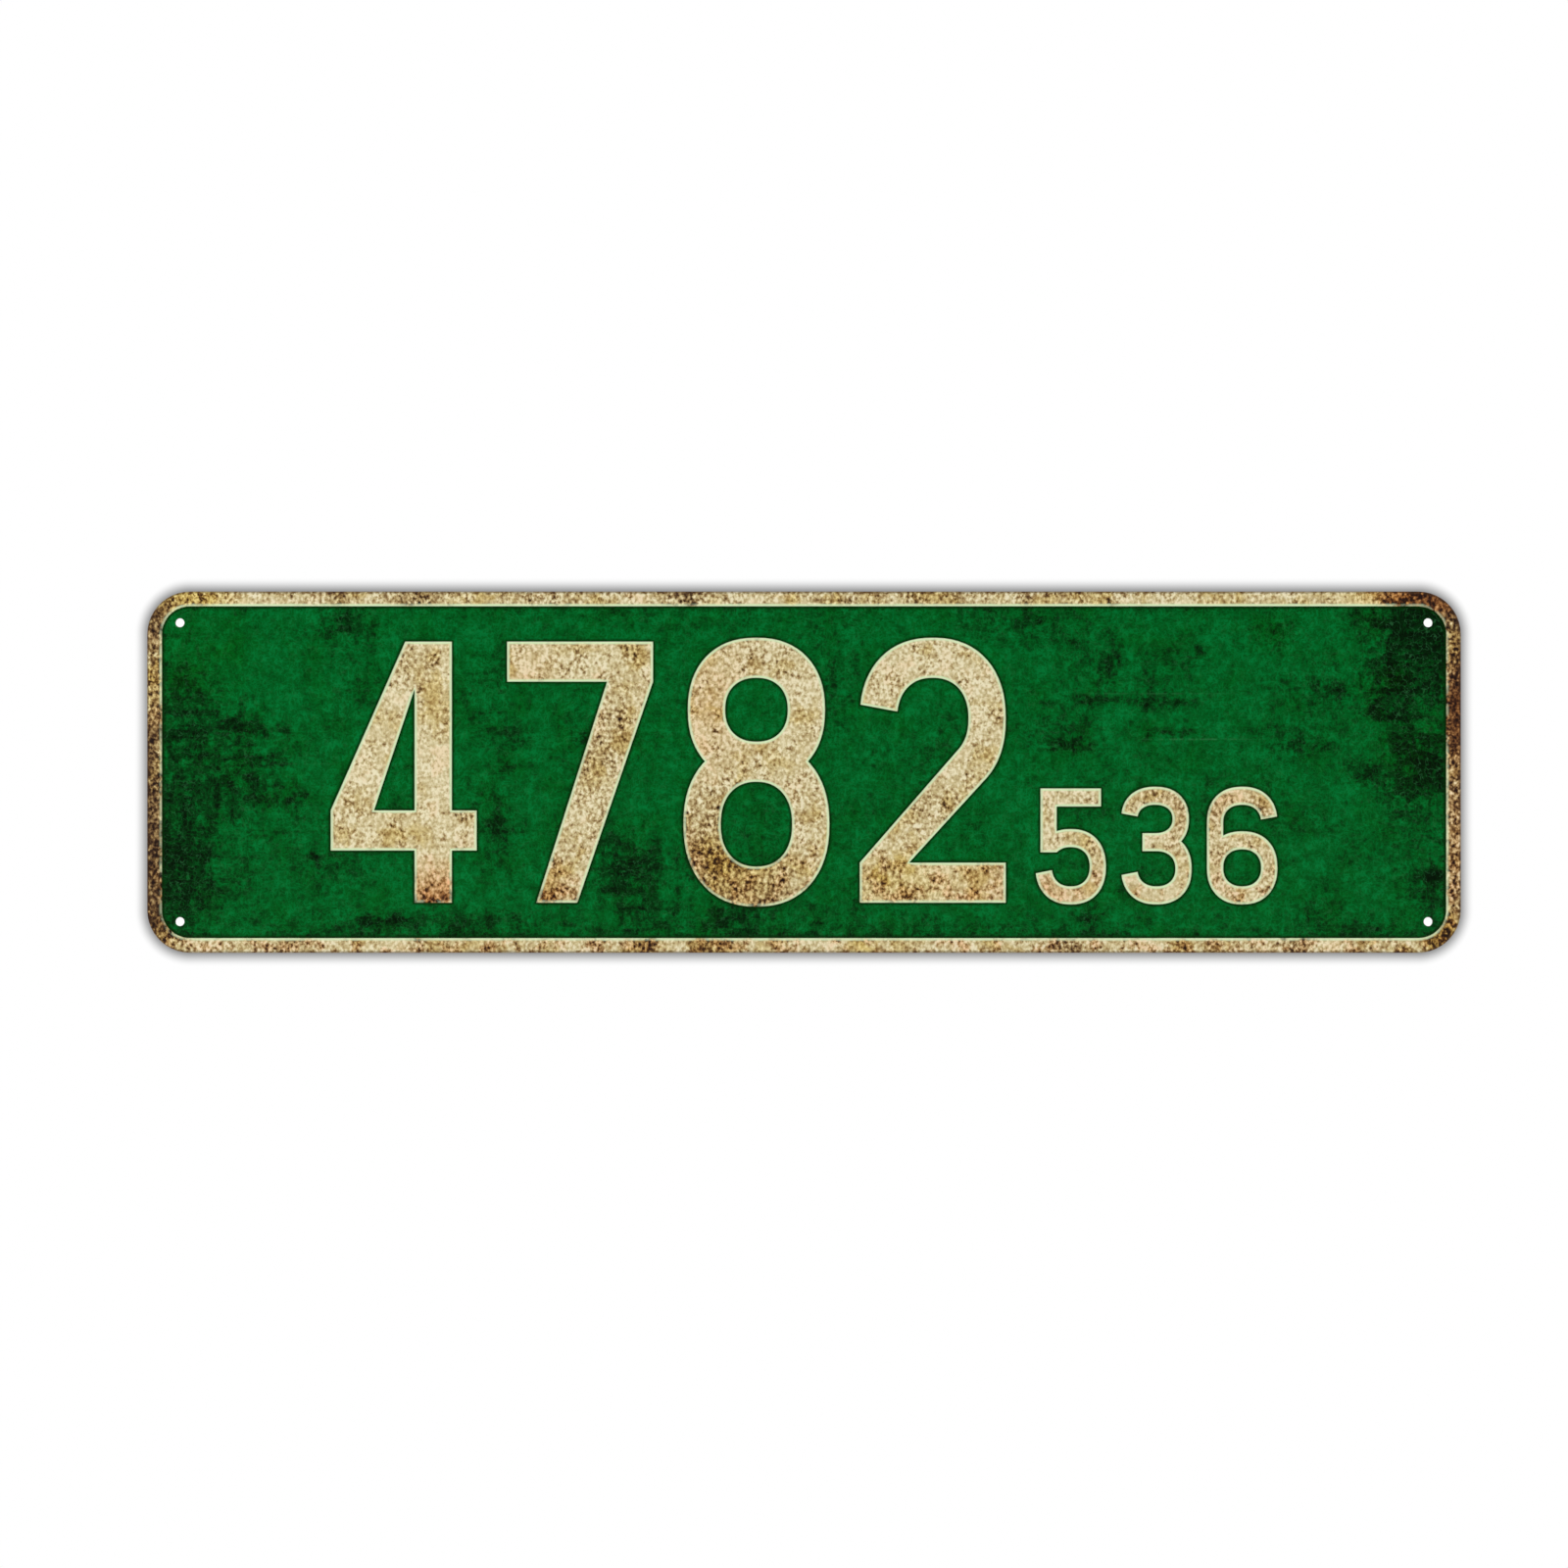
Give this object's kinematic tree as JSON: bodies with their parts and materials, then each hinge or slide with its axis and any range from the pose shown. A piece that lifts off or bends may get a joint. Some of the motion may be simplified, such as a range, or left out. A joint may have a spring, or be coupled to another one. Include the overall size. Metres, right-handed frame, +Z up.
{
  "type": "decorative street sign",
  "caption": "Flat round-cornered sheet-metal street sign, green with a cream border and plain cream numerals, holed at its corners for screws, with a worn finish.",
  "frame": {"origin": "middle of the sheet's back face, which lies against the wall", "axes": "+X along the sign's length, to the right of someone reading it; +Y out of its back, into the wall; +Z up"},
  "size_m": [0.4, 0.0009, 0.11],
  "materials": {
    "cream_coat": "aged cream coat with brown rust speckle, satin",
    "green_coat": "aged dark green print with near-black stains, satin"
  },
  "bodies": {
    "root": {"cream_sheet": "cream_coat", "green_coat": "green_coat"}
  },
  "joints": []
}
